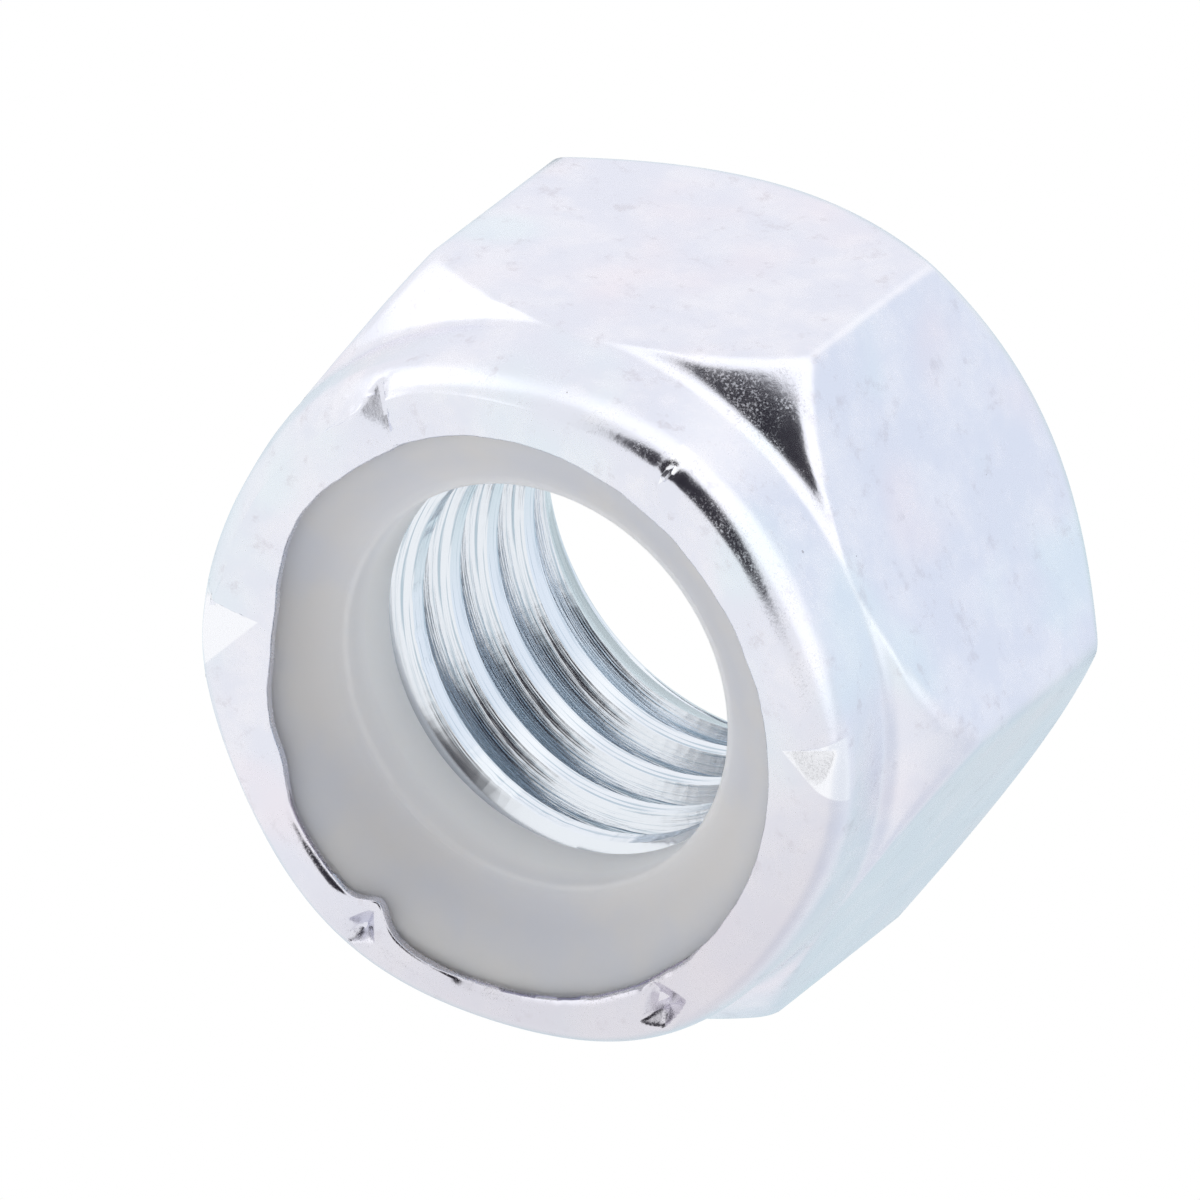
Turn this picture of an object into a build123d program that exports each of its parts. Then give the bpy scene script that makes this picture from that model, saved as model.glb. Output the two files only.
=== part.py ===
"""Nylon insert lock nut, half inch, coarse thread.

A cold-formed steel hexagon nut carries a thin collar. A nylon ring drops into the pocket of the
collar, and the collar's lip is crimped over the ring and staked at six places to hold it.

Lengths are in millimetres and angles in degrees. The thread axis is +Z, the bearing face lies at
z = 0, the nylon end is up, and one corner of the hexagon points along +X.
"""

import os
from math import cos, radians, sin, tan

from build123d import *

# Hexagon
flat_count = 6
across_flats = 19.05
hexagon_height = 10.9
corner_fillet = 0.3
bearing_face_diameter = 18.3
bearing_chamfer_angle = 50.7
collar_chamfer_angle = 57.0

# Collar, its shoulder rolled over by the crimping die
collar_height = 3.1
collar_inset = 0.05
collar_wall = 0.95
shoulder_radius = 0.85
pocket_depth = 4.3
pocket_corner_chamfer = 0.35
lip_thickness = 0.55
lip_reach = 0.85
lip_edge_chamfer = 0.15

# Chisel stakes that lock the lip into the ring, one over each corner of the hexagon
stake_count = 6
stake_depth = 0.4
stake_vee_angle = 90.0
stake_elevation = 55.0
stake_length = 2.3

# Bore, plain at the minor diameter of the thread
minor_diameter = 10.84
bearing_countersink_diameter = 13.0
pocket_countersink_diameter = 12.0
countersink_angle = 90.0

# Nylon ring, its face dished towards the bore
insert_bore_diameter = 11.4
insert_clearance = 0.02
insert_shelf = 0.15
insert_dish_depth = 0.85
insert_bore_fillet = 0.4

# Worked out from the sizes above
flat_r = across_flats / 2
corner_r = flat_r / cos(radians(180 / flat_count))
overall_height = hexagon_height + collar_height
bearing_face_r = bearing_face_diameter / 2
bearing_chamfer_height = (corner_r - bearing_face_r) * tan(radians(bearing_chamfer_angle))
collar_r = flat_r - collar_inset
collar_chamfer_height = (corner_r - collar_r) * tan(radians(collar_chamfer_angle))
pocket_r = collar_r - collar_wall
pocket_floor_z = overall_height - pocket_depth
lip_underside_z = overall_height - lip_thickness
lip_r = pocket_r - lip_reach
stake_half_width = 2 * stake_depth * tan(radians(stake_vee_angle / 2))
minor_r = minor_diameter / 2
insert_r = pocket_r - insert_clearance
insert_bore_r = insert_bore_diameter / 2
insert_top_z = lip_underside_z - insert_clearance
insert_corner_chamfer = pocket_corner_chamfer
insert_dish_r = lip_r - insert_shelf
insert_dish_z = insert_top_z - insert_dish_depth

os.makedirs("parts", exist_ok=True)

# Each stake's plane stands across its notch: local X points into the metal and local Y runs round
# the shoulder, so that the notch itself slopes down and outwards
struck_r = collar_r - shoulder_radius * (1 - cos(radians(stake_elevation)))
struck_z = overall_height - shoulder_radius * (1 - sin(radians(stake_elevation)))
stake_planes = []
for stake in range(stake_count):
    turn = Rot(Z=stake * 360 / stake_count)
    stake_planes.append(Plane(turn * Pos(struck_r, 0, struck_z) * Rot(Y=180 - stake_elevation)))

with BuildPart() as nut_body:
    # Hexagonal blank with slightly rounded corners
    with BuildSketch() as hexagon:
        RegularPolygon(radius=flat_r, side_count=flat_count, major_radius=False)
        fillet(hexagon.vertices(), radius=corner_fillet)
    extrude(amount=hexagon_height)

    # Both ends are turned down to a cone, which leaves an arc on each flat
    with BuildSketch(Plane.XZ):
        with BuildLine():
            Polyline(
                (0, 0),
                (bearing_face_r, 0),
                (corner_r, bearing_chamfer_height),
                (corner_r, hexagon_height - collar_chamfer_height),
                (collar_r, hexagon_height),
                (0, hexagon_height),
                close=True,
            )
        make_face()
    revolve(axis=Axis.Z, mode=Mode.INTERSECT)

    # Collar with its rolled shoulder
    with BuildSketch(Plane.XY.offset(hexagon_height)):
        Circle(collar_r)
    extrude(amount=collar_height)
    fillet(nut_body.edges().group_by(Axis.Z)[-1], radius=shoulder_radius)

    # Pocket for the ring, under a lip that leaves a round mouth
    with BuildSketch(Plane.XZ):
        with BuildLine():
            Polyline(
                (0, pocket_floor_z),
                (pocket_r, pocket_floor_z),
                (pocket_r, lip_underside_z - pocket_corner_chamfer),
                (pocket_r - pocket_corner_chamfer, lip_underside_z),
                (0, lip_underside_z),
                close=True,
            )
        make_face()
    revolve(axis=Axis.Z, mode=Mode.SUBTRACT)
    with Locations((0, 0, overall_height)):
        Hole(radius=lip_r, depth=lip_thickness)
    mouth = nut_body.edges().filter_by(GeomType.CIRCLE).group_by(Axis.Z)[-1]
    chamfer(mouth.sort_by(SortBy.RADIUS)[0], length=lip_edge_chamfer)

    # Bore, countersunk at the floor of the pocket and at the bearing face
    with Locations((0, 0, pocket_floor_z)):
        CounterSinkHole(
            radius=minor_r,
            counter_sink_radius=pocket_countersink_diameter / 2,
            depth=pocket_floor_z,
            counter_sink_angle=countersink_angle,
        )
    with Locations(Location((0, 0, 0), (180, 0, 0))):
        CounterSinkHole(
            radius=minor_r,
            counter_sink_radius=bearing_countersink_diameter / 2,
            depth=pocket_floor_z,
            counter_sink_angle=countersink_angle,
        )

    # Stakes: V notches across the shoulder, open above it
    with BuildSketch(*stake_planes):
        with BuildLine():
            Polyline(
                (-stake_depth, -stake_half_width),
                (stake_depth, 0),
                (-stake_depth, stake_half_width),
                close=True,
            )
        make_face()
    extrude(amount=stake_length / 2, both=True, mode=Mode.SUBTRACT)

with BuildPart() as nylon_insert:
    # One turned section: flat floor, straight wall, shoulder under the lip, dished face, bore
    with BuildSketch(Plane.XZ) as section:
        with BuildLine():
            Polyline(
                (insert_bore_r, pocket_floor_z),
                (insert_r, pocket_floor_z),
                (insert_r, insert_top_z - insert_corner_chamfer),
                (insert_r - insert_corner_chamfer, insert_top_z),
                (insert_dish_r, insert_top_z),
                (insert_bore_r, insert_dish_z),
                close=True,
            )
        make_face()
        bore_edge = section.vertices().sort_by_distance((insert_bore_r, insert_dish_z))[0]
        fillet(bore_edge, radius=insert_bore_fillet)
    revolve(axis=Axis.Z)

nut_body.part.label = "nut_body"
nylon_insert.part.label = "nylon_insert"
export_step(nut_body.part, "parts/nut_body.step")
export_step(nylon_insert.part, "parts/nylon_insert.step")
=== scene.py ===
"""Half-inch nylon insert lock nut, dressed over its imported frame.

The steel body is turned, pressed, crimped, staked and tapped in the order in which a real nut is
made, and the nylon ring lies in its collar. Sizes are written in millimetres and angles in degrees.
A mesh is shaped in millimetres and scaled to metres as it is finished.
"""

from __future__ import annotations

import logging
from dataclasses import dataclass, field
from enum import Enum
from math import atan2, cos, degrees, exp, hypot, pi, radians, sin, sqrt, tan

import bmesh
import bpy
from mathutils import Matrix, Vector, noise


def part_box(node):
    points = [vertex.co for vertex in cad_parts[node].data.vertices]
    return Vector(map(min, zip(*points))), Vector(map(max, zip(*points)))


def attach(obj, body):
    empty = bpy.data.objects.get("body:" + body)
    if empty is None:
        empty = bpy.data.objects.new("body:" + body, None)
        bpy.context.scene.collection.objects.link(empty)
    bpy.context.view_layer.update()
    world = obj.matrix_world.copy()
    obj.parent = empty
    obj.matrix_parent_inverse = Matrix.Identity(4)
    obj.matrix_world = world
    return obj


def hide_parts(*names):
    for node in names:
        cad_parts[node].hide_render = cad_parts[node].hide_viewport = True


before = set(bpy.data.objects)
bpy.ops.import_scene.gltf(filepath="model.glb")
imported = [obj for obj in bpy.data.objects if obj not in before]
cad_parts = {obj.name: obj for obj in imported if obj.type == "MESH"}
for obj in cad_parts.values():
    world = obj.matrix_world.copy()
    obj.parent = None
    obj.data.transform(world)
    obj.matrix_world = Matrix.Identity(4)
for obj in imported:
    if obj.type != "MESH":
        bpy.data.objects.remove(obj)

log = logging.getLogger("lock_nut")

Colour = tuple[float, float, float, float]
Socket = bpy.types.NodeSocket

MILLIMETRE = 0.001


def smooth_min(a: float, b: float, blend: float) -> float:
    """Smaller of two values, rounded off where they cross.

    Args:
        a: First value.
        b: Second value.
        blend: Difference below which the crossing is rounded.

    Returns:
        The smaller value, lowered by up to a quarter of blend at the crossing.
    """
    if blend <= 0:
        return min(a, b)
    h = min(1.0, max(0.0, 0.5 + 0.5 * (b - a) / blend))
    return b * (1 - h) + a * h - blend * h * (1 - h)


def smooth_step(low: float, high: float, value: float) -> float:
    """Share from 0 at low to 1 at high, with soft ends.

    Args:
        low: Value that gives 0.
        high: Value that gives 1. It may be the smaller of the two.
        value: Value to place between them.

    Returns:
        A number from 0 to 1.
    """
    t = min(1.0, max(0.0, (value - low) / (high - low)))
    return t * t * (3 - 2 * t)


def angle_apart(a: float, b: float) -> float:
    """Signed difference of two angles in degrees, from -180 to 180."""
    return (a - b + 180) % 360 - 180


@dataclass
class Outline:
    """Chain of (radius, height) points that is spun about Z."""

    points: list[tuple[float, float]] = field(default_factory=list)

    def line(self, radius: float, height: float, steps: int = 1) -> Outline:
        """Adds a straight run to a point.

        Args:
            radius: Radius of the run's end.
            height: Height of the run's end.
            steps: Number of pieces that the run is cut into.

        Returns:
            The outline itself.
        """
        if not self.points:
            self.points.append((radius, height))
            return self
        start_r, start_z = self.points[-1]
        for step in range(1, steps + 1):
            share = step / steps
            self.points.append((
                start_r + (radius - start_r) * share, start_z + (height - start_z) * share,
            ))
        return self

    def arc(
        self, centre: tuple[float, float], radius: float, start: float, end: float, steps: int,
    ) -> Outline:
        """Adds an arc, from a start angle to an end angle above the outward direction.

        Args:
            centre: Centre of the arc, as radius and height.
            radius: Radius of the arc.
            start: Angle of its first point.
            end: Angle of its last point.
            steps: Number of pieces that the arc is cut into.

        Returns:
            The outline itself.
        """
        for step in range(steps + 1):
            angle = radians(start + (end - start) * step / steps)
            self.points.append((centre[0] + radius * cos(angle), centre[1] + radius * sin(angle)))
        return self


def spin_outline(points: list[tuple[float, float]], columns: int) -> bmesh.types.BMesh:
    """Spins a closed outline all the way round Z.

    Args:
        points: The outline's (radius, height) points, without a repeated last one.
        columns: Number of steps round the axis.

    Returns:
        A closed mesh in millimetres.
    """
    bm = bmesh.new()
    verts = [bm.verts.new((r, 0.0, z)) for r, z in points]
    edges = [bm.edges.new((verts[i - 1], verts[i])) for i in range(len(verts))]
    bmesh.ops.spin(
        bm, geom=verts + edges, cent=(0, 0, 0), axis=(0, 0, 1), dvec=(0, 0, 0),
        angle=2 * pi, steps=columns, use_merge=True,
    )
    bmesh.ops.remove_doubles(bm, verts=bm.verts, dist=1e-5)
    bmesh.ops.recalc_face_normals(bm, faces=bm.faces)
    return bm


def finish_piece(name: str, bm: bmesh.types.BMesh, sharp_angle: float) -> bpy.types.Object:
    """Turns a mesh in millimetres into a smooth-shaded object in metres.

    Args:
        name: Name of the object.
        bm: The mesh, which is freed.
        sharp_angle: Angle past which an edge stays sharp.

    Returns:
        The new object, linked to the scene.
    """
    bmesh.ops.scale(bm, vec=(MILLIMETRE,) * 3, verts=bm.verts)
    mesh = bpy.data.meshes.new(name)
    bm.to_mesh(mesh)
    bm.free()
    mesh.shade_smooth()
    mesh.set_sharp_from_angle(angle=radians(sharp_angle))
    piece = bpy.data.objects.new(name, mesh)
    bpy.context.scene.collection.objects.link(piece)
    return piece


class NodeSheet:
    """Small wrapper that adds and joins the nodes of one material or world."""

    def __init__(self, tree: bpy.types.NodeTree) -> None:
        """Empties a node tree and keeps it.

        Args:
            tree: The tree to fill.
        """
        self.tree = tree
        tree.nodes.clear()

    def add(self, kind: str, inputs: dict | None = None, **settings: str) -> bpy.types.Node:
        """Adds a node.

        Args:
            kind: Blender's name for the node's type.
            inputs: Input name or number to a constant or an output socket.
            settings: Properties of the node itself.

        Returns:
            The new node.
        """
        node = self.tree.nodes.new(kind)
        for key, value in settings.items():
            setattr(node, key, value)
        for key, value in (inputs or {}).items():
            if isinstance(value, Socket):
                self.tree.links.new(value, node.inputs[key])
            else:
                node.inputs[key].default_value = value
        return node

    def math(self, operation: str, *values: Socket | float) -> Socket:
        """Adds a Math node and returns its result."""
        inputs = dict(enumerate(values))
        return self.add("ShaderNodeMath", inputs, operation=operation).outputs[0]

    def total(self, first: Socket | float, second: Socket | float) -> Socket:
        """Adds two values."""
        return self.math("ADD", first, second)

    def times(self, first: Socket | float, second: Socket | float) -> Socket:
        """Multiplies two values."""
        return self.math("MULTIPLY", first, second)

    def radius(self, x: Socket, y: Socket) -> Socket:
        """Length of the vector (x, y)."""
        return self.math("SQRT", self.total(self.times(x, x), self.times(y, y)))

    def dot(self, vector: Socket, axis: Vector) -> Socket:
        """Share of a vector along a fixed axis."""
        inputs = {0: vector, 1: axis}
        return self.add("ShaderNodeVectorMath", inputs, operation="DOT_PRODUCT").outputs["Value"]

    def mix(self, share: Socket | float, first: Socket | Colour, second: Socket | Colour) -> Socket:
        """Mixes two colours by a share from 0 to 1 and returns the result."""
        inputs = {0: share, 6: first, 7: second}
        return self.add("ShaderNodeMix", inputs, data_type="RGBA").outputs[2]

    def noise(
        self, vector: Socket, scale: float, detail: float = 2.0, roughness: float = 0.5,
    ) -> Socket:
        """Adds a noise texture and returns its value."""
        inputs = {"Vector": vector, "Scale": scale, "Detail": detail, "Roughness": roughness}
        return self.add("ShaderNodeTexNoise", inputs).outputs["Fac"]

    def ramp(
        self, value: Socket, low: float, high: float, start: float = 0.0, end: float = 1.0,
    ) -> Socket:
        """Maps a value from low..high to start..end with soft ends.

        Args:
            value: Socket with the value.
            low: Value that gives start.
            high: Value that gives end. It may be the smaller of the two.
            start: Result at low and beyond it.
            end: Result at high and beyond it.

        Returns:
            A socket with the result.
        """
        inputs = {
            "Value": value, "From Min": low, "From Max": high, "To Min": start, "To Max": end,
        }
        node = self.add("ShaderNodeMapRange", inputs, interpolation_type="SMOOTHSTEP")
        return node.outputs["Result"]

    def millimetres(self) -> Socket:
        """Object coordinates counted in millimetres."""
        place = self.add("ShaderNodeTexCoord").outputs["Object"]
        inputs = {"Vector": place, "Scale": (1 / MILLIMETRE,) * 3}
        return self.add("ShaderNodeMapping", inputs).outputs["Vector"]


@dataclass(frozen=True)
class Stake:
    """One chisel mark that locks the lip.

    Attributes:
        angle: Place round the axis.
        tip_r: Radius at which the notch runs out on the lip.
        slope: Fall of the notch towards the outside.
        low_side: Tilt of its face on the clockwise side.
        high_side: Tilt of its face on the other side.
        twist: Turn of the notch away from the radial direction.
        length: Distance from the tip to its deepest point.
        bright: Whether the chisel left it brighter than the plate around it.
    """

    angle: float
    tip_r: float
    slope: float
    low_side: float
    high_side: float
    twist: float
    length: float = 9.0
    bright: bool = False


@dataclass(frozen=True)
class Dent:
    """Place where the lip's edge stands further in, or further out if its depth is negative."""

    angle: float
    depth: float
    width: float


@dataclass(frozen=True)
class Curl:
    """Stretch of the lip's edge that is rounded over more, between two angles."""

    start: float
    end: float
    width: float
    depth: float


@dataclass(frozen=True)
class ZincPlate:
    """Bright zinc plate on cold-formed steel: pale, grainy, faintly mottled and tinted.

    Attributes:
        bright_stakes: Chisel marks whose faces are brighter than the plate around them.
        cloud_scale: Clouds to the millimetre, as are the other scales.
        tint_share: Strength of the pink and cyan tints.
        side_darkening_z: Heights between which the plate gets darker, on the side away from +X.
        pit_size: Greatest radius of a pit, against the distance between two.
        grain_size: Size of the crystals that roughen the surface.
        grain_height: Height of the grain.
        swell_height: Height of the slow waves, against the grain's.
        speckle_size: Size of the duller crystals.
        gloss: Roughness of the plate, from its smoothest to its dullest clouds.
        speckle_roughness: Roughness that the duller crystals add.
    """

    name: str = "zinc_plate"
    bright_stakes: tuple[Stake, ...] = ()
    colour: Colour = (0.80, 0.815, 0.90, 1)
    cloud_colour: Colour = (0.87, 0.87, 0.93, 1)
    pink_tint: Colour = (0.92, 0.82, 0.86, 1)
    cyan_tint: Colour = (0.76, 0.89, 0.93, 1)
    darker_plate_colour: Colour = (0.62, 0.59, 0.64, 1)
    pit_colour: Colour = (0.35, 0.33, 0.36, 1)
    struck_colour: Colour = (0.95, 0.96, 1.0, 1)
    cloud_scale: float = 0.55
    tint_scale: float = 0.21
    tint_share: float = 0.4
    smudge_scale: float = 1.3
    smudge_share: float = 0.4
    side_darkening_share: float = 0.5
    side_darkening_reach: float = 8.0
    side_darkening_z: tuple[float, float] = (13.3, 13.8)
    pit_scale: float = 0.6
    pit_size: float = 0.09
    pit_share: float = 0.6
    grain_size: float = 0.16
    grain_height: float = 0.003
    swell_scale: float = 0.8
    swell_height: float = 2.5
    speckle_size: float = 0.06
    gloss: tuple[float, float] = (0.17, 0.24)
    speckle_roughness: float = 0.32

    def material(self) -> bpy.types.Material:
        """Builds the material.

        Returns:
            A metal whose colour, gloss and grain follow the object's own coordinates.
        """
        made = bpy.data.materials.new(self.name)
        made.use_nodes = True
        sheet = NodeSheet(made.node_tree)
        place = sheet.millimetres()
        clouds = sheet.noise(place, self.cloud_scale, 5.0, 0.62)
        shader = sheet.add("ShaderNodeBsdfPrincipled", {
            "Base Color": self.pitted(sheet, place, self.mottled(sheet, place, clouds)),
            "Metallic": 1.0,
            "Roughness": self.dulled(sheet, place, clouds),
            "Normal": self.grained(sheet, place),
        })
        sheet.add("ShaderNodeOutputMaterial", {"Surface": shader.outputs["BSDF"]})
        return made

    def mottled(self, sheet: NodeSheet, place: Socket, clouds: Socket) -> Socket:
        """Colours the plate with clouds, faint tints, smudges, a darker top on the side away from
        +X and bright chisel marks.

        Args:
            sheet: Node tree of the material.
            place: Socket with the place in millimetres.
            clouds: Socket with the clouds' noise.

        Returns:
            A socket with the colour.
        """
        colour = sheet.mix(sheet.ramp(clouds, 0.38, 0.66), self.colour, self.cloud_colour)
        bands = sheet.noise(place, self.tint_scale, 2.0, 0.4)
        pink = sheet.ramp(bands, 0.55, 0.72, 0.0, self.tint_share)
        cyan = sheet.ramp(bands, 0.45, 0.30, 0.0, self.tint_share)
        colour = sheet.mix(cyan, sheet.mix(pink, colour, self.pink_tint), self.cyan_tint)
        smudges = sheet.noise(place, self.smudge_scale, 4.0, 0.7)
        smudged = sheet.ramp(smudges, 0.56, 0.72, 0.0, self.smudge_share)
        colour = sheet.mix(smudged, colour, self.darker_plate_colour)
        x, y, z = sheet.add("ShaderNodeSeparateXYZ", {0: place}).outputs
        # Darker towards -X near the top of the lip, above the given heights.
        away = sheet.ramp(x, 0.0, -self.side_darkening_reach, 0.0, self.side_darkening_share)
        side_darkened = sheet.times(away, sheet.ramp(z, *self.side_darkening_z))
        colour = sheet.mix(side_darkened, colour, self.darker_plate_colour)
        for stake in self.bright_stakes:
            colour = sheet.mix(self.struck(sheet, (x, y, z), stake), colour, self.struck_colour)
        return colour

    def struck(
        self, sheet: NodeSheet, place: tuple[Socket, Socket, Socket], stake: Stake,
    ) -> Socket:
        """Marks the surface that one chisel stroke has left bright.

        Args:
            sheet: Node tree of the material.
            place: Sockets with X, Y and Z in millimetres.
            stake: The stroke.

        Returns:
            A socket that gives 1 inside the notch and 0 outside it.
        """
        x, y, z = place
        ahead, aside = cos(radians(stake.angle)), sin(radians(stake.angle))
        out = sheet.total(sheet.times(x, ahead), sheet.times(y, aside))
        out = sheet.math("SUBTRACT", out, stake.tip_r)
        across = sheet.math("SUBTRACT", sheet.times(y, ahead), sheet.times(x, aside))
        high_side = sheet.times(across, tan(radians(stake.high_side)))
        low_side = sheet.times(across, -tan(radians(stake.low_side)))
        sides = sheet.math("MAXIMUM", high_side, low_side)
        notch = sheet.math("SUBTRACT", sides, sheet.times(out, tan(radians(stake.slope))))
        inside = sheet.times(sheet.ramp(notch, -0.02, -0.05), sheet.ramp(out, 0.0, 0.1))
        return sheet.times(inside, sheet.ramp(z, 13.0, 13.2))

    def pitted(self, sheet: NodeSheet, place: Socket, colour: Socket) -> Socket:
        """Scatters small dark pits over a colour.

        Args:
            sheet: Node tree of the material.
            place: Socket with the place in millimetres.
            colour: Socket with the colour.

        Returns:
            A socket with the colour and its pits.
        """
        inputs = {"Vector": place, "Scale": self.pit_scale, "Randomness": 1.0}
        centres = sheet.add("ShaderNodeTexVoronoi", inputs).outputs["Distance"]
        size = sheet.ramp(sheet.noise(place, 3.1), 0.45, 0.75, 0.0, self.pit_size)
        pits = sheet.math("LESS_THAN", centres, size)
        return sheet.mix(sheet.times(pits, self.pit_share), colour, self.pit_colour)

    def dulled(self, sheet: NodeSheet, place: Socket, clouds: Socket) -> Socket:
        """Sets the gloss by the clouds, and dulls it with patches of fine crystals.

        Args:
            sheet: Node tree of the material.
            place: Socket with the place in millimetres.
            clouds: Socket with the clouds' noise.

        Returns:
            A socket with the roughness.
        """
        patchy = sheet.ramp(sheet.noise(place, 1.1, 3.0, 0.6), 0.35, 0.6)
        fine = sheet.noise(place, 1 / self.speckle_size, 2.0, 0.6)
        crystals = sheet.times(sheet.ramp(fine, 0.48, 0.72), patchy)
        base = sheet.ramp(clouds, 0.35, 0.7, *self.gloss)
        return sheet.total(base, sheet.times(crystals, self.speckle_roughness))

    def grained(self, sheet: NodeSheet, place: Socket) -> Socket:
        """Raises the grain and the slow waves of the plate.

        Args:
            sheet: Node tree of the material.
            place: Socket with the place in millimetres.

        Returns:
            A socket with the surface's direction.
        """
        grain = sheet.noise(place, 1 / self.grain_size, 3.0, 0.6)
        swell = sheet.noise(place, self.swell_scale, 2.0, 0.5)
        height = sheet.total(grain, sheet.times(swell, self.swell_height))
        return sheet.add("ShaderNodeBump", {
            "Height": height, "Strength": 1.0, "Distance": self.grain_height * MILLIMETRE,
        }).outputs["Normal"]


@dataclass(frozen=True)
class CutThread:
    """Thread left by the tap and plated: bright, with fine lines along the helix.

    Attributes:
        pitch: Rise of the helix in one turn.
        line_spread: Cycles to the millimetre across the lines.
        line_scale: Scale of the lines' noise.
        line_depth: Depth of the lines.
        tear_scale: Number of small scuffs round the bore.
        tear_stretch: Their spread along the thread's flank, against that round the bore.
        tear_depth: Depth of the scuffs.
        lead_in_z: Height above which the surface is smooth.
        lead_in_fade: Height over which the lines run out.
    """

    pitch: float
    name: str = "cut_thread"
    colour: Colour = (0.84, 0.88, 0.93, 1)
    dark_colour: Colour = (0.50, 0.60, 0.68, 1)
    roughness: float = 0.16
    line_spread: float = 7.0
    line_scale: float = 1.5
    line_depth: float = 0.015
    tear_scale: float = 46.0
    tear_stretch: float = 0.06
    tear_depth: float = 0.0024
    lead_in_z: float = 9.45
    lead_in_fade: float = 0.25

    def material(self) -> bpy.types.Material:
        """Builds the material.

        Returns:
            A metal with lines that run along the thread and meet themselves after one turn.
        """
        made = bpy.data.materials.new(self.name)
        made.use_nodes = True
        sheet = NodeSheet(made.node_tree)
        place = sheet.millimetres()
        x, y, z = sheet.add("ShaderNodeSeparateXYZ", {0: place}).outputs
        turn = sheet.math("ARCTAN2", y, x)
        climbed = sheet.math("SUBTRACT", z, sheet.times(turn, self.pitch / (2 * pi)))
        step = sheet.math("FLOORED_MODULO", climbed, self.pitch)
        radius = sheet.radius(x, y)
        lines = sheet.add("ShaderNodeTexNoise", {
            "Vector": self.helix(sheet, x, y, radius, sheet.times(step, self.line_spread)),
            "W": sheet.times(radius, self.line_spread),
            "Scale": self.line_scale, "Detail": 3.0, "Roughness": 0.6,
        }, noise_dimensions="4D").outputs["Fac"]
        scuffed = self.helix(sheet, x, y, radius, sheet.times(step, self.tear_stretch))
        tears = sheet.noise(scuffed, self.tear_scale, 2.0, 0.6)
        torn = sheet.ramp(sheet.noise(place, 0.5, 1.0), 0.40, 0.62, 0.25, 1.0)
        tapped = sheet.ramp(z, self.lead_in_z, self.lead_in_z - self.lead_in_fade)
        drawn = sheet.times(sheet.ramp(lines, 0.36, 0.50, 1.0, 0.0), tapped)
        furrows = sheet.times(sheet.times(lines, tapped), self.line_depth)
        scuffs = sheet.times(sheet.times(tears, torn), sheet.times(tapped, self.tear_depth))
        bump = sheet.add("ShaderNodeBump", {
            "Height": sheet.total(furrows, scuffs), "Strength": 1.0, "Distance": MILLIMETRE,
        })
        shader = sheet.add("ShaderNodeBsdfPrincipled", {
            "Base Color": sheet.mix(drawn, self.colour, self.dark_colour),
            "Metallic": 1.0, "Roughness": self.roughness, "Normal": bump.outputs["Normal"],
        })
        sheet.add("ShaderNodeOutputMaterial", {"Surface": shader.outputs["BSDF"]})
        return made

    def helix(
        self, sheet: NodeSheet, x: Socket, y: Socket, radius: Socket, rise: Socket,
    ) -> Socket:
        """Place on a helix, so that a noise of it closes after one turn.

        Args:
            sheet: Node tree of the material.
            x: Socket with the place along X.
            y: Socket with the place along Y.
            radius: Socket with the distance from the axis.
            rise: Socket with the place across the thread, already scaled.

        Returns:
            A socket with the direction from the axis and the rise.
        """
        inputs = {0: sheet.math("DIVIDE", x, radius), 1: sheet.math("DIVIDE", y, radius), 2: rise}
        return sheet.add("ShaderNodeCombineXYZ", inputs).outputs[0]


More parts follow.
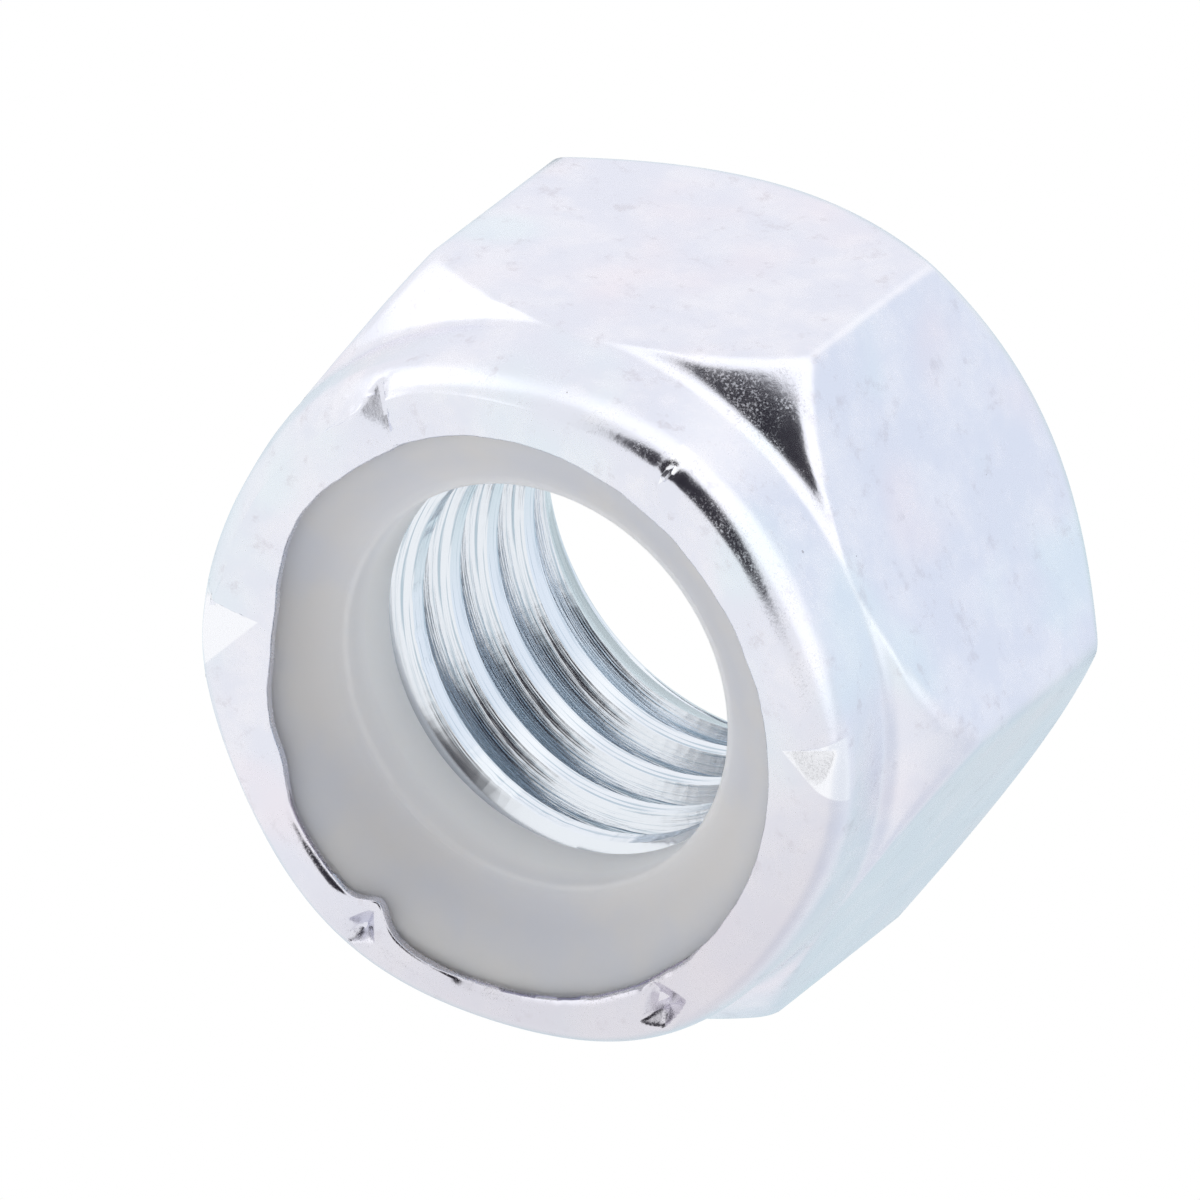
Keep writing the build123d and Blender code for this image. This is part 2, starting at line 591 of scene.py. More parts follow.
@dataclass(frozen=True)
class MouldedNylon:
    """Natural off-white nylon with a satin skin, with painted light that lightens the face towards
    the bore and the bore with depth, and a painted glow in the bore.

    Attributes:
        face_painted_light_r: Radius inside which painted light makes the face lighter.
        face_painted_light_share: How far the painted light makes it lighter.
        face_r: Radius at which the face ends.
        bore_r: Radius at which the painted light in the bore is full.
        crease_z: Height of the edge between face and bore.
        crease_fade: Depth over which the painted light in the bore reaches full strength.
        bore_painted_glow: Strength of the painted glow that the bore gives off.
        soft_depth: Distance that light travels under the skin.
    """

    name: str = "nylon"
    colour: Colour = (0.635, 0.65, 0.70, 1)
    warm_colour: Colour = (0.69, 0.68, 0.68, 1)
    # Painted light: lighter colour for the face near the bore, set against the bore's shade.
    face_painted_light_colour: Colour = (0.86, 0.86, 0.88, 1)
    # Painted light: near-white colour for the bore wall, set against the shade deep in the bore.
    bore_painted_light_colour: Colour = (0.97, 0.965, 0.97, 1)
    # Painted glow: colour of the light that the bore gives off, though it is no lamp.
    painted_glow_colour: Colour = (1, 0.99, 0.98, 1)
    face_painted_light_r: float = 6.6
    face_painted_light_share: float = 0.3
    face_r: float = 5.68
    bore_r: float = 5.55
    crease_z: float = 12.4
    crease_fade: float = 1.6
    bore_painted_glow: float = 0.10
    roughness: float = 0.38
    soft_depth: float = 2.6
    grain_height: float = 0.006

    def material(self) -> bpy.types.Material:
        """Builds the material.

        Returns:
            A soft, slightly translucent plastic, with painted light and a painted glow round and in
            the bore.
        """
        made = bpy.data.materials.new(self.name)
        made.use_nodes = True
        sheet = NodeSheet(made.node_tree)
        place = sheet.millimetres()
        x, y, height = sheet.add("ShaderNodeSeparateXYZ", {0: place}).outputs
        radius = sheet.radius(x, y)
        clouds = sheet.noise(place, 0.3, 3.0)
        colour = sheet.mix(sheet.ramp(clouds, 0.35, 0.65), self.colour, self.warm_colour)
        # Painted light: the face is made lighter towards the bore.
        face_painted_light = sheet.ramp(radius, self.face_painted_light_r, self.face_r, 0.0, self.face_painted_light_share)
        colour = sheet.mix(face_painted_light, colour, self.face_painted_light_colour)
        # Painted light: the bore wall is made lighter, more so further down, against the shade in
        # the bore.
        deep = sheet.ramp(height, self.crease_z, self.crease_z - self.crease_fade, 0.25, 1.0)
        in_bore = sheet.times(sheet.ramp(radius, self.face_r, self.bore_r), deep)
        bump = sheet.add("ShaderNodeBump", {
            "Height": sheet.noise(place, 2.5, 3.0), "Strength": 1.0,
            "Distance": self.grain_height * MILLIMETRE,
        })
        shader = sheet.add("ShaderNodeBsdfPrincipled", {
            "Base Color": sheet.mix(in_bore, colour, self.bore_painted_light_colour),
            "Roughness": self.roughness, "IOR": 1.5,
            "Subsurface Weight": 1.0, "Subsurface Scale": self.soft_depth * MILLIMETRE,
            "Subsurface Radius": (1.0, 0.95, 0.9),
            # Painted glow: the bore emits light, more so further down.
            "Emission Color": self.painted_glow_colour,
            "Emission Strength": sheet.times(in_bore, self.bore_painted_glow),
            "Normal": bump.outputs["Normal"],
        })
        sheet.add("ShaderNodeOutputMaterial", {"Surface": shader.outputs["BSDF"]})
        return made


class Finish(Enum):
    """Finishes of the steel body, by material slot."""

    ZINC = 0
    THREAD = 1


@dataclass
class ThreadTap:
    """Cutter that taps the bore.

    Attributes:
        minor_r: Radius of the bore.
        major_r: Radius at the root of the thread.
        pitch: Rise of the helix in one turn.
        bottom: Height of the cutter's lower end.
        top: Height of its upper end.
        start_angle: Direction in which the helix passes its lowest point.
        steps_per_turn: Pieces that one turn is cut into.
        flank_angle: Half of the angle between the thread's flanks.
        undercut: How far the cutter's own root lies inside the bore.
    """

    minor_r: float
    major_r: float
    pitch: float
    bottom: float
    top: float
    start_angle: float
    steps_per_turn: int = 96
    flank_angle: float = 30.0
    undercut: float = 0.12

    def build(self) -> bpy.types.Object:
        """Sweeps one turn's ridge up a helix and trims it flat at both ends.

        Returns:
            A closed cutter in millimetres, to be removed after use.
        """
        root_r = self.minor_r - self.undercut
        flank = (self.major_r - root_r) * tan(radians(self.flank_angle))
        crest = self.pitch / 8
        rest = (self.pitch - crest - 2 * flank) / 2
        below = self.bottom - 2 * self.pitch
        turns = int((self.top - below) / self.pitch) + 2
        ridge = [
            (root_r, 0.0), (root_r, rest), (self.major_r, rest + flank),
            (self.major_r, rest + flank + crest), (root_r, rest + 2 * flank + crest),
            (root_r, self.pitch),
        ]
        bm = bmesh.new()
        start = radians(self.start_angle)
        verts = [bm.verts.new((r * cos(start), r * sin(start), below + z)) for r, z in ridge]
        edges = [bm.edges.new(pair) for pair in zip(verts, verts[1:])]
        bmesh.ops.spin(
            bm, geom=verts + edges, cent=(0, 0, 0), axis=(0, 0, 1),
            dvec=(0, 0, self.pitch / self.steps_per_turn),
            angle=2 * pi * turns, steps=self.steps_per_turn * turns,
        )
        bmesh.ops.remove_doubles(bm, verts=bm.verts, dist=1e-4)
        for height, outward in ((self.bottom, -1), (self.top, 1)):
            geometry = bm.verts[:] + bm.edges[:] + bm.faces[:]
            bmesh.ops.bisect_plane(
                bm, geom=geometry, plane_co=(0, 0, height), plane_no=(0, 0, outward),
                clear_outer=True, dist=1e-5,
            )
        rims = [edge for edge in bm.edges if edge.is_boundary]
        bmesh.ops.holes_fill(bm, edges=rims)
        bmesh.ops.recalc_face_normals(bm, faces=bm.faces)
        for face in bm.faces:
            face.material_index = Finish.THREAD.value
        mesh = bpy.data.meshes.new("tap")
        bm.to_mesh(mesh)
        bm.free()
        tap = bpy.data.objects.new("tap", mesh)
        bpy.context.scene.collection.objects.link(tap)
        return tap


@dataclass
class SteelBody:
    """Hexagon, collar, crimped lip, stakes and thread: one piece of steel.

    Attributes:
        node: Node of the frame that it replaces.
        columns: Steps round the axis.
        edge_blend: Softness of the edges between flats and chamfers.
        mouth_shift: How far the mouth lies off the axis, towards mouth_shift_angle.
        mouth_oval: How far the mouth is stretched, towards mouth_oval_angle.
        lean_mean: How far the collar's top is drawn in all round.
        lean_swing: How much more it is drawn in towards lean_angle.
        flattening: How much more it is drawn in over each flat.
        extra_roll: How much larger the shoulder's bevel is near extra_roll_angle.
        extra_roll_reach: Angles from there at which the bevel starts and is full.
        chamfer_crown: Bulge of the collar side's chamfer.
        end_rise: Tilt of the wall at the outer end of a short stake.
        stake_blend: Softness of a stake's edges.
        burr_height: Height of the burr beside a stake.
        burr_width: Width of that burr.
        ragged: Depth and number of the waves round the lip's edge, coarse and fine.
        lip_wave: Rise and fall of the lip's edge.
        torn: Depth and number of the tears where the tap came out.
    """

    node: str = "nut_body"
    columns: int = 576
    corner_fillet: float = 0.45
    edge_blend: float = 0.28
    edge_blend_fade: float = 0.6
    bearing_face_r: float = 9.15
    bearing_chamfer_top: float = 2.33
    collar_chamfer_bottom: float = 8.55
    collar_base_z: float = 10.9
    collar_r: float = 9.475
    shoulder_radius: float = 0.8
    shoulder_height: float = 1.25
    lip_r: float = 7.72
    lip_thickness: float = 0.34
    lip_slope: float = 0.06
    lip_edge_radius: float = 0.09
    mouth_shift: float = 0.28
    mouth_shift_angle: float = 150.0
    mouth_oval: float = 0.12
    mouth_oval_angle: float = -45.0
    lean_mean: float = 0.02
    lean_swing: float = 0.16
    lean_angle: float = 40.0
    flattening: float = 0.2
    extra_roll: float = 0.7
    extra_roll_angle: float = 28.0
    extra_roll_reach: tuple[float, float] = (42.0, 14.0)
    chamfer_crown: float = 0.14
    collar_base_fillet: float = 0.65
    pocket_r: float = 8.525
    pocket_floor_z: float = 10.12
    minor_r: float = 5.42
    major_r: float = 6.42
    pitch: float = 1.954
    thread_start: float = 154.0
    bearing_countersink_r: float = 6.5
    bearing_countersink_depth: float = 2.2
    pocket_countersink_r: float = 5.9
    end_rise: float = 48.0
    stake_blend: float = 0.04
    burr_height: float = 0.03
    burr_width: float = 0.12
    ragged: tuple[tuple[float, float], ...] = ((0.03, 9.0), (0.012, 31.0))
    lip_wave: float = 0.04
    torn: tuple[float, float] = (0.05, 14.0)
    sharp_angle: float = 38.0
    stakes: tuple[Stake, ...] = (
        Stake(358.3, 7.45, 21.0, 64.0, 24.0, 0.0),
        Stake(57.0, 7.2, 18.0, 66.0, 15.0, 0.0, bright=True),
        Stake(122.3, 7.25, 23.0, 45.0, 38.0, 0.0, length=1.2),
        Stake(186.0, 7.6, 31.0, 46.0, 33.0, -16.0, length=1.15),
        Stake(248.2, 8.0, 20.0, 18.0, 66.0, 0.0, bright=True),
        Stake(302.0, 8.6, 34.0, 62.0, 66.0, 0.0, bright=True),
    )
    dents: tuple[Dent, ...] = (
        Dent(10.0, 0.20, 16.0), Dent(60.0, 0.66, 26.0), Dent(88.0, 0.24, 7.0),
        Dent(105.0, 0.14, 40.0), Dent(122.5, 0.52, 4.0), Dent(135.0, -0.05, 6.0),
        Dent(188.0, 0.05, 5.0), Dent(246.0, 0.04, 5.0),
    )
    curls: tuple[Curl, ...] = (
        Curl(90.0, 120.0, 0.25, 0.19),
        Curl(138.0, 200.0, 0.36, 0.26),
    )
    curl_fade: float = 8.0

    def __post_init__(self) -> None:
        """Reads the width across flats and the height from the frame."""
        low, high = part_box(self.node)
        self.flat_r = (high[1] - low[1]) / 2 / MILLIMETRE
        self.corner_r = self.flat_r / cos(radians(30))
        self.top_z = high[2] / MILLIMETRE

    def turned_blank(self) -> bmesh.types.BMesh:
        """Turns the round blank with its collar, pocket and bore.

        Returns:
            A closed ring, still round where the hexagon will be.
        """
        shoulder = (self.collar_r - self.shoulder_radius, self.top_z - self.shoulder_height)
        edge_r = self.lip_edge_radius
        underside = self.top_z - self.lip_slope - self.lip_thickness
        outline = Outline()
        outline.line(self.bearing_countersink_r, 0.0)
        outline.line(self.bearing_face_r, 0.0, 2)
        outline.line(self.corner_r, self.bearing_chamfer_top, 20)
        outline.line(self.corner_r, self.collar_chamfer_bottom, 4)
        self.crowned_chamfer(outline)
        outline.line(self.collar_r, shoulder[1], 5)
        shoulder_steps = 26
        for step in range(1, shoulder_steps + 1):
            angle = radians(90 * step / shoulder_steps)
            outline.line(
                shoulder[0] + self.shoulder_radius * cos(angle),
                shoulder[1] + self.shoulder_height * sin(angle),
            )
        lip_z = self.top_z - self.lip_slope
        outline.line(self.lip_r + edge_r, lip_z, 11)
        outline.arc((self.lip_r + edge_r, lip_z - edge_r), edge_r, 96, 180, 6)
        outline.line(self.lip_r, underside + edge_r, 2)
        outline.arc((self.lip_r + edge_r, underside + edge_r), edge_r, 186, 264, 5)
        outline.line(self.lip_r + edge_r, underside)
        outline.line(self.pocket_r, underside, 3)
        outline.line(self.pocket_r, self.pocket_floor_z, 3)
        outline.line(self.pocket_countersink_r, self.pocket_floor_z, 3)
        countersink = self.pocket_countersink_r - self.minor_r
        outline.line(self.minor_r, self.pocket_floor_z - countersink, 2)
        outline.line(self.minor_r, self.bearing_countersink_depth, 4)
        return spin_outline(outline.points, self.columns)

    def crowned_chamfer(self, outline: Outline) -> None:
        """Adds the collar side's chamfer, slightly crowned, and the fillet at the collar's base.

        Args:
            outline: The blank's outline, which ends at the foot of the chamfer.
        """
        fall = self.collar_base_z - self.collar_chamfer_bottom
        run = self.corner_r - self.collar_r
        length = hypot(fall, run)
        chamfer_steps, fillet_steps = 30, 8
        for step in range(1, chamfer_steps + 1):
            share = step / chamfer_steps
            bulge = 4 * self.chamfer_crown * share * (1 - share)
            radius = self.corner_r - run * share + bulge * fall / length
            height = self.collar_chamfer_bottom + fall * share + bulge * run / length
            if radius > self.collar_r + self.collar_base_fillet * 0.45:
                outline.line(min(radius, self.corner_r), height)
        foot_r, foot_z = outline.points[-1]
        top_z = foot_z + self.collar_base_fillet * 1.1
        for step in range(1, fillet_steps + 1):
            share = step / fillet_steps
            pull = (1 - share) ** 2
            radius = self.collar_r + (foot_r - self.collar_r) * pull
            height = foot_z + (top_z - foot_z) * (0.9 * share * (1 - share) + share ** 2)
            outline.line(radius, height)

    def hexagon_r(self, angle: float) -> float:
        """Radius of the hexagon with rounded corners in one direction.

        Args:
            angle: Direction from +X, where a corner points.

        Returns:
            Distance from the axis to the hexagon's outline.
        """
        off_corner = radians(30 - abs(angle % 60 - 30))
        half = radians(30)
        fillet = self.corner_fillet
        centre = (self.flat_r - fillet) / cos(half)
        tangent = atan2(fillet * sin(half), centre + fillet * cos(half))
        if off_corner < tangent:
            return centre * cos(off_corner) + sqrt(fillet ** 2 - (centre * sin(off_corner)) ** 2)
        return self.flat_r / cos(half - off_corner)

    def press_hexagon(self, bm: bmesh.types.BMesh) -> None:
        """Presses the six flats into the blank, with soft edges along the chamfers.

        Args:
            bm: The blank, which is changed.
        """
        for vert in bm.verts:
            radius = hypot(vert.co.x, vert.co.y)
            if vert.co.z > self.collar_base_z or radius < self.bearing_face_r - 0.2:
                continue
            if vert.co.z > self.pocket_floor_z - 0.1 and radius < self.pocket_r + 0.2:
                continue
            angle = degrees(atan2(vert.co.y, vert.co.x))
            below = self.collar_base_z - vert.co.z
            blend = self.edge_blend * min(1.0, below / self.edge_blend_fade)
            wanted = smooth_min(radius, self.hexagon_r(angle), blend)
            vert.co.x *= wanted / radius
            vert.co.y *= wanted / radius

    def squeeze_collar(self, bm: bmesh.types.BMesh) -> None:
        """Leans the collar's top off centre and rolls its shoulder over further on one side.

        Args:
            bm: The body, which is changed.
        """
        foot_z = self.collar_base_z + 0.4
        bevel = sqrt(0.5)
        for vert in bm.verts:
            radius = hypot(vert.co.x, vert.co.y)
            if vert.co.z < foot_z or radius < self.pocket_r + 0.05:
                continue
            angle = degrees(atan2(vert.co.y, vert.co.x))
            direction = Vector((vert.co.x, vert.co.y, 0.0)) / radius
            lean = self.lean_mean + self.lean_swing * cos(radians(angle - self.lean_angle))
            lean += self.flattening * sin(radians(angle * 3)) ** 2
            share = smooth_step(foot_z, self.top_z - 0.5, vert.co.z)
            share *= smooth_step(self.pocket_r, self.pocket_r + 0.5, radius)
            vert.co -= direction * lean * share
            off_roll = abs(angle_apart(angle, self.extra_roll_angle))
            roll = smooth_step(*self.extra_roll_reach, off_roll)
            rolled = self.shoulder_radius + self.extra_roll * roll
            below = vert.co.z - self.top_z
            inside = hypot(vert.co.x, vert.co.y) - (self.collar_r - lean * share)
            slant = (below + inside) * bevel
            cut = smooth_min(slant, -rolled * 0.46, 0.3) - slant
            vert.co += (direction + Vector((0, 0, 1))) * bevel * cut * min(1.0, roll * 3)

    def crimp_lip(self, bm: bmesh.types.BMesh) -> None:
        """Shifts the mouth off centre, pushes it in at the stakes and leaves its edge uneven.

        Args:
            bm: The body, which is changed.
        """
        outer = self.collar_r - self.shoulder_radius
        lip_z = self.top_z - self.lip_slope
        for vert in bm.verts:
            radius = hypot(vert.co.x, vert.co.y)
            if vert.co.z < lip_z - self.lip_thickness - 0.05 or radius > outer:
                continue
            angle = degrees(atan2(vert.co.y, vert.co.x))
            share = smooth_step(outer, self.lip_r + 0.2, radius)
            shift = self.mouth_shift * cos(radians(angle - self.mouth_shift_angle))
            shift += self.mouth_oval * cos(radians(2 * (angle - self.mouth_oval_angle)))
            pushed = 0.0
            for dent in self.dents:
                pushed += dent.depth * exp(-(angle_apart(angle, dent.angle) / dent.width) ** 2)
            direction = Vector((vert.co.x, vert.co.y, 0.0)) / radius
            ragged = sum(noise.noise(direction * count) * depth for depth, count in self.ragged)
            vert.co += direction * (shift - pushed + ragged) * share
            wave = noise.noise(direction * 6.0 + Vector((0, 0, 5))) - 0.5
            vert.co.z += share * self.lip_wave * wave
            vert.co.z -= share * max(0.0, pushed) * 0.1
            if vert.co.z > lip_z - 0.2:
                vert.co.z -= self.curled_down(angle % 360, radius)

    def curled_down(self, angle: float, radius: float) -> float:
        """How far the lip's edge is rounded down at one place.

        Args:
            angle: Place round the axis, from 0 to 360.
            radius: Distance from the axis, before the mouth is shifted.

        Returns:
            The fall in millimetres.
        """
        fall = 0.0
        for curl in self.curls:
            share = smooth_step(curl.start, curl.start + self.curl_fade, angle)
            share *= smooth_step(curl.end, curl.end - self.curl_fade, angle)
            near = max(0.0, self.lip_r + curl.width - radius) / curl.width
            fall += share * curl.depth * near ** 2
        return fall

    def strike_stakes(self, bm: bmesh.types.BMesh) -> None:
        """Cuts a V notch into the lip at each stake, deeper towards the outside.

        Args:
            bm: The body, which is changed.
        """
        underside = self.top_z - self.lip_thickness * 0.8
        reach = 2.2
        for stake in self.stakes:
            turn = Matrix.Rotation(radians(-stake.angle), 3, "Z")
            for vert in bm.verts:
                radius = hypot(vert.co.x, vert.co.y)
                if vert.co.z < underside - 0.35 or radius < self.lip_r - 1.2:
                    continue
                local = turn @ vert.co
                if local.x < 0 or abs(local.y) > reach:
                    continue
                if vert.co.z < underside and local.x < self.pocket_r + 0.3:
                    continue
                out = local.x - stake.tip_r
                across = local.y - out * tan(radians(stake.twist))
                steepness = tan(radians(stake.high_side if across > 0 else stake.low_side))
                floor_z = self.top_z - min(out, stake.length) * tan(radians(stake.slope))
                floor_z += max(0.0, out - stake.length) * tan(radians(self.end_rise))
                side_z = floor_z + abs(across) * steepness
                lowered = smooth_min(vert.co.z, side_z, self.stake_blend)
                burr = 0.0
                if out > 0 and floor_z < self.top_z:
                    crest = (self.top_z - floor_z) / steepness * 1.15
                    burr = self.burr_height * exp(-((abs(across) - crest) / self.burr_width) ** 2)
                vert.co.z = min(self.top_z, lowered + burr)

    def tear_countersink(self, bm: bmesh.types.BMesh) -> None:
        """Leaves the steel a little torn where the tap came out, under the ring.

        Args:
            bm: The body, which is changed.
        """
        depth, count = self.torn
        for vert in bm.verts:
            radius = hypot(vert.co.x, vert.co.y)
            if not (self.minor_r - 0.01 < radius < self.pocket_countersink_r + 0.01):
                continue
            if not (self.pocket_floor_z - 0.7 < vert.co.z < self.pocket_floor_z + 0.01):
                continue
            direction = Vector((vert.co.x, vert.co.y, 0.0)) / radius
            tear = noise.noise(direction * count) * depth
            vert.co.z += min(0.0, tear)
            vert.co += direction * max(0.0, tear)

    def tap_bore(self, body: bpy.types.Object, tap: bpy.types.Object) -> None:
        """Cuts the thread out of the body and removes the tap.

        Args:
            body: Object in millimetres, whose mesh is replaced.
            tap: Closed cutter in millimetres.
        """
        cut = body.modifiers.new("tap", "BOOLEAN")
        cut.operation = "DIFFERENCE"
        cut.solver = "EXACT"
        cut.object = tap
        evaluated = body.evaluated_get(bpy.context.evaluated_depsgraph_get())
        threaded = bpy.data.meshes.new_from_object(evaluated)
        body.modifiers.clear()
        body.data = threaded
        bpy.data.objects.remove(tap)

    def build(self) -> bpy.types.Object:
        """Makes the whole body.

        Returns:
            The finished object, dressed in zinc plate and cut thread.
        """
        bm = self.turned_blank()
        self.press_hexagon(bm)
        self.squeeze_collar(bm)
        self.crimp_lip(bm)
        self.strike_stakes(bm)
        self.tear_countersink(bm)
        bmesh.ops.recalc_face_normals(bm, faces=bm.faces)
        for face in bm.faces:
            centre = face.calc_center_median()
            in_bore = hypot(centre.x, centre.y) < self.bearing_countersink_r
            if in_bore and centre.z < self.pocket_floor_z:
                face.material_index = Finish.THREAD.value
        mesh = bpy.data.meshes.new("blank")
        bm.to_mesh(mesh)
        bm.free()
        blank = bpy.data.objects.new("blank", mesh)
        bpy.context.scene.collection.objects.link(blank)
        tap = ThreadTap(
            self.minor_r, self.major_r, self.pitch,
            bottom=-0.5, top=self.pocket_floor_z + 0.4, start_angle=self.thread_start,
        )
        self.tap_bore(blank, tap.build())
        threaded = bmesh.new()
        threaded.from_mesh(blank.data)
        bpy.data.objects.remove(blank)
        piece = finish_piece("steel_body", threaded, self.sharp_angle)
        self.dress(piece)
        return piece

    def dress(self, piece: bpy.types.Object) -> None:
        """Gives the body its finishes and its place in the frame.

        Args:
            piece: The finished body.
        """
        bright = tuple(stake for stake in self.stakes if stake.bright)
        finishes = {
            Finish.ZINC: ZincPlate(bright_stakes=bright).material(),
            Finish.THREAD: CutThread(self.pitch).material(),
        }
        for finish in Finish:
            piece.data.materials.append(finishes[finish])
        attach(piece, "root")
        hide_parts(self.node)


@dataclass
class NylonRing:
    """Ring of nylon held under the lip, dished towards its bore.

    Attributes:
        node: Node of the frame that it replaces.
        columns: Steps round the axis.
        squeezed_up: How far the crimp has pushed its top above the frame's ring.
        shelf_r: Radius at which the dish starts.
        dish_depth: Fall of the face from there to the bore.
    """

    node: str = "nylon_insert"
    columns: int = 288
    floor_z: float = 10.12
    squeezed_up: float = 0.15
    bore_r: float = 5.53
    shelf_r: float = 7.75
    dish_depth: float = 1.2
    bore_fillet: float = 0.2
    corner: float = 0.35
    sharp_angle: float = 50.0

    def build(self) -> bpy.types.Object:
        """Makes the ring.

        Returns:
            The finished object, dressed in nylon.
        """
        low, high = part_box(self.node)
        top_z = high[2] / MILLIMETRE + self.squeezed_up
        outer_r = (high[0] - low[0]) / 2 / MILLIMETRE
        outline = Outline()
        outline.line(self.bore_r, self.floor_z)
        outline.line(outer_r, self.floor_z, 3)
        outline.line(outer_r, top_z - self.corner, 4)
        outline.line(outer_r - self.corner, top_z, 2)
        outline.line(self.shelf_r, top_z, 2)
        dish_steps, fillet_steps = 12, 8
        run = self.shelf_r - self.bore_r - self.bore_fillet
        for step in range(1, dish_steps + 1):
            share = step / dish_steps
            dip = self.dish_depth * (0.45 * share + 0.55 * share ** 1.6)
            outline.line(self.shelf_r - run * share, top_z - dip)
        edge_r, edge_z = outline.points[-1]
        for step in range(1, fillet_steps + 1):
            turn = radians(90 * step / fillet_steps)
            outline.line(
                edge_r - self.bore_fillet * sin(turn), edge_z - self.bore_fillet * (1 - cos(turn)),
            )
        outline.line(self.bore_r, self.floor_z + 0.3, 8)
        bm = spin_outline(outline.points, self.columns)
        piece = finish_piece("nylon_ring", bm, self.sharp_angle)
        piece.data.materials.append(MouldedNylon().material())
        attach(piece, "root")
        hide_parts(self.node)
        return piece


@dataclass(frozen=True)
class DomePatch:
    """Soft-edged oval patch of the studio dome.

    Attributes:
        azimuth: Compass angle of its centre, from +X towards +Y.
        elevation: Angle of its centre above the floor.
        half_width: Half of its angular width.
        half_height: Half of its angular height.
        softness: Share of its size over which it fades.
        colour: Light that it gives, against 1 for plain white.
    """

    azimuth: float
    elevation: float
    half_width: float
    half_height: float
    softness: float
    colour: tuple[float, float, float]

    def axes(self) -> tuple[Vector, Vector, Vector]:
        """Directions towards its centre, along its width and along its height.

        Returns:
            Three unit vectors at right angles.
        """
        azimuth, elevation = radians(self.azimuth), radians(self.elevation)
        towards = Vector((
            cos(elevation) * cos(azimuth), cos(elevation) * sin(azimuth), sin(elevation),
        ))
        across = Vector((0, 0, 1)).cross(towards).normalized()
        return towards, across, towards.cross(across)


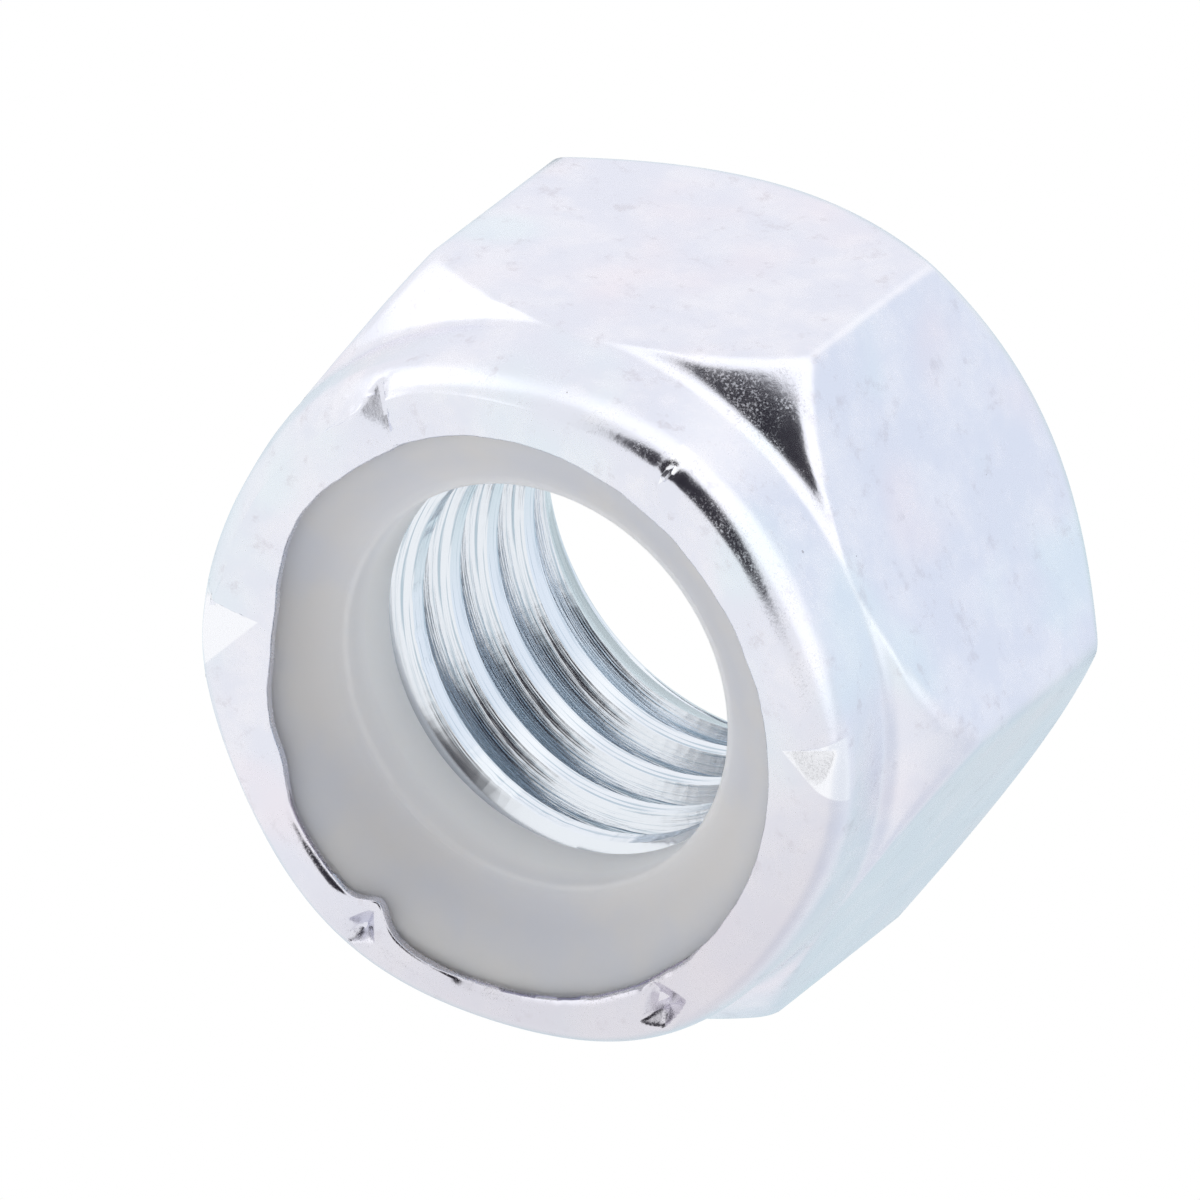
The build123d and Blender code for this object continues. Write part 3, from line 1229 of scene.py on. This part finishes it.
@dataclass
class Studio:
    """Pale floor, soft white dome and camera.

    Attributes:
        dome_colour: Light of the dome outside its patches.
        patches: Brighter, darker and tinted parts of the dome.
        floor_size: Width of the floor in metres.
        floor_gap: Depth of the floor below the bearing face, in millimetres.
        camera_azimuth: Direction that the camera looks in, from +Y towards -X.
        camera_elevation: Angle at which it looks down.
        camera_roll: Its turn about its own axis.
        camera_distance: Its distance from the nut in metres.
        sensor_width: Width of its sensor in millimetres.
        frame_width: Width of the view at the nut, in millimetres.
        aim: Point at the middle of the view, in millimetres.
    """

    dome_colour: Colour = (0.98, 0.98, 0.98, 1)
    patches: tuple[DomePatch, ...] = (
        DomePatch(12.0, -60.0, 50.0, 28.0, 0.7, (0.98, 0.98, 1.0)),
        DomePatch(-107.5, -55.0, 40.0, 30.0, 0.7, (0.86, 0.91, 0.98)),
        DomePatch(132.0, -55.0, 38.0, 32.0, 0.7, (0.69, 0.79, 0.83)),
        DomePatch(-47.5, -52.0, 10.0, 30.0, 0.8, (1.08, 1.08, 1.08)),
        DomePatch(208.0, -14.0, 44.0, 20.0, 0.6, (0.78, 0.81, 0.86)),
        DomePatch(-64.0, -12.0, 58.0, 21.0, 0.35, (1.25, 1.25, 1.25)),
        DomePatch(22.0, 0.0, 24.0, 22.0, 0.35, (1.3, 1.3, 1.3)),
        DomePatch(-58.0, 41.0, 30.0, 30.0, 0.08, (0.025, 0.022, 0.03)),
    )
    floor_size: float = 1.2
    floor_gap: float = 0.02
    camera_azimuth: float = 17.5
    camera_elevation: float = 52.3
    camera_roll: float = 127.7
    camera_distance: float = 1.2
    sensor_width: float = 36.0
    frame_width: float = 30.88
    aim: tuple[float, float, float] = (-0.39, 3.705, 3.286)

    def build_floor(self) -> None:
        """Lays the pale floor under the nut."""
        bm = bmesh.new()
        bmesh.ops.create_grid(bm, x_segments=1, y_segments=1, size=self.floor_size / 2)
        bmesh.ops.translate(bm, vec=(0, 0, -self.floor_gap * MILLIMETRE), verts=bm.verts)
        mesh = bpy.data.meshes.new("floor")
        bm.to_mesh(mesh)
        bm.free()
        floor = bpy.data.objects.new("floor", mesh)
        bpy.context.scene.collection.objects.link(floor)
        made = bpy.data.materials.new("floor")
        made.use_nodes = True
        sheet = NodeSheet(made.node_tree)
        white = {"Color": (1, 1, 1, 1), "Strength": 1.0}
        pale = sheet.add("ShaderNodeEmission", white).outputs[0]
        clear = sheet.add("ShaderNodeBsdfTransparent").outputs[0]
        below = sheet.add("ShaderNodeNewGeometry").outputs["Backfacing"]
        shader = sheet.add("ShaderNodeMixShader", {0: below, 1: pale, 2: clear})
        sheet.add("ShaderNodeOutputMaterial", {"Surface": shader.outputs[0]})
        floor.data.materials.append(made)
        floor.visible_glossy = False
        floor.visible_diffuse = False
        floor.visible_shadow = False

    def build_dome(self) -> None:
        """Makes the world a white dome with a few bright and dark patches."""
        world = bpy.data.worlds.new("dome")
        bpy.context.scene.world = world
        world.use_nodes = True
        sheet = NodeSheet(world.node_tree)
        direction = sheet.add("ShaderNodeTexCoord").outputs["Generated"]
        colour = self.dome_colour
        for patch in self.patches:
            ahead, across, along = (sheet.dot(direction, axis) for axis in patch.axes())
            azimuth = sheet.math("ARCTAN2", across, ahead)
            swing = sheet.math("DIVIDE", azimuth, radians(patch.half_width))
            climb = sheet.math("DIVIDE", sheet.math("ARCSINE", along), radians(patch.half_height))
            off = sheet.radius(swing, climb)
            share = sheet.ramp(off, 1 + patch.softness, 1 - patch.softness)
            colour = sheet.mix(share, colour, (*patch.colour, 1))
        light = sheet.add("ShaderNodeBackground", {"Color": colour, "Strength": 1.0})
        plain = sheet.add("ShaderNodeBackground", {"Color": (1, 1, 1, 1), "Strength": 1.0})
        seen = sheet.add("ShaderNodeLightPath").outputs["Is Camera Ray"]
        both = sheet.add("ShaderNodeMixShader", {0: seen, 1: light.outputs[0], 2: plain.outputs[0]})
        sheet.add("ShaderNodeOutputWorld", {"Surface": both.outputs[0]})

    def build_camera(self) -> None:
        """Aims a long lens at the nut, rolled so that its nylon end points to the lower left."""
        azimuth = radians(self.camera_azimuth)
        elevation = radians(self.camera_elevation)
        forward = Vector((
            -sin(azimuth) * cos(elevation), cos(azimuth) * cos(elevation), -sin(elevation),
        ))
        level_right = forward.cross(Vector((0, 0, 1))).normalized()
        level_up = level_right.cross(forward)
        roll = radians(self.camera_roll)
        up = level_up * cos(roll) + level_right * sin(roll)
        right = forward.cross(up)
        turn = Matrix((right, up, -forward)).transposed().to_4x4()
        place = Vector(self.aim) * MILLIMETRE - forward * self.camera_distance
        data = bpy.data.cameras.new("camera")
        data.sensor_width = self.sensor_width
        data.lens = self.sensor_width * self.camera_distance / (self.frame_width * MILLIMETRE)
        data.clip_start = 0.01
        camera = bpy.data.objects.new("camera", data)
        camera.matrix_world = Matrix.Translation(place) @ turn
        bpy.context.scene.collection.objects.link(camera)
        bpy.context.scene.camera = camera

    def build(self) -> None:
        """Sets up the floor, the light and the camera."""
        self.build_floor()
        self.build_dome()
        self.build_camera()
        bpy.context.scene.view_settings.view_transform = "Standard"


def report(piece: bpy.types.Object) -> None:
    """Logs a piece's name and triangle count."""
    piece.data.calc_loop_triangles()
    log.info("%s: %d triangles", piece.name, len(piece.data.loop_triangles))


def main() -> None:
    """Builds the nut and its studio."""
    logging.basicConfig(level=logging.INFO, format="%(message)s")
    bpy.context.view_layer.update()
    report(SteelBody().build())
    report(NylonRing().build())
    Studio().build()


if __name__ == "__main__":
    main()
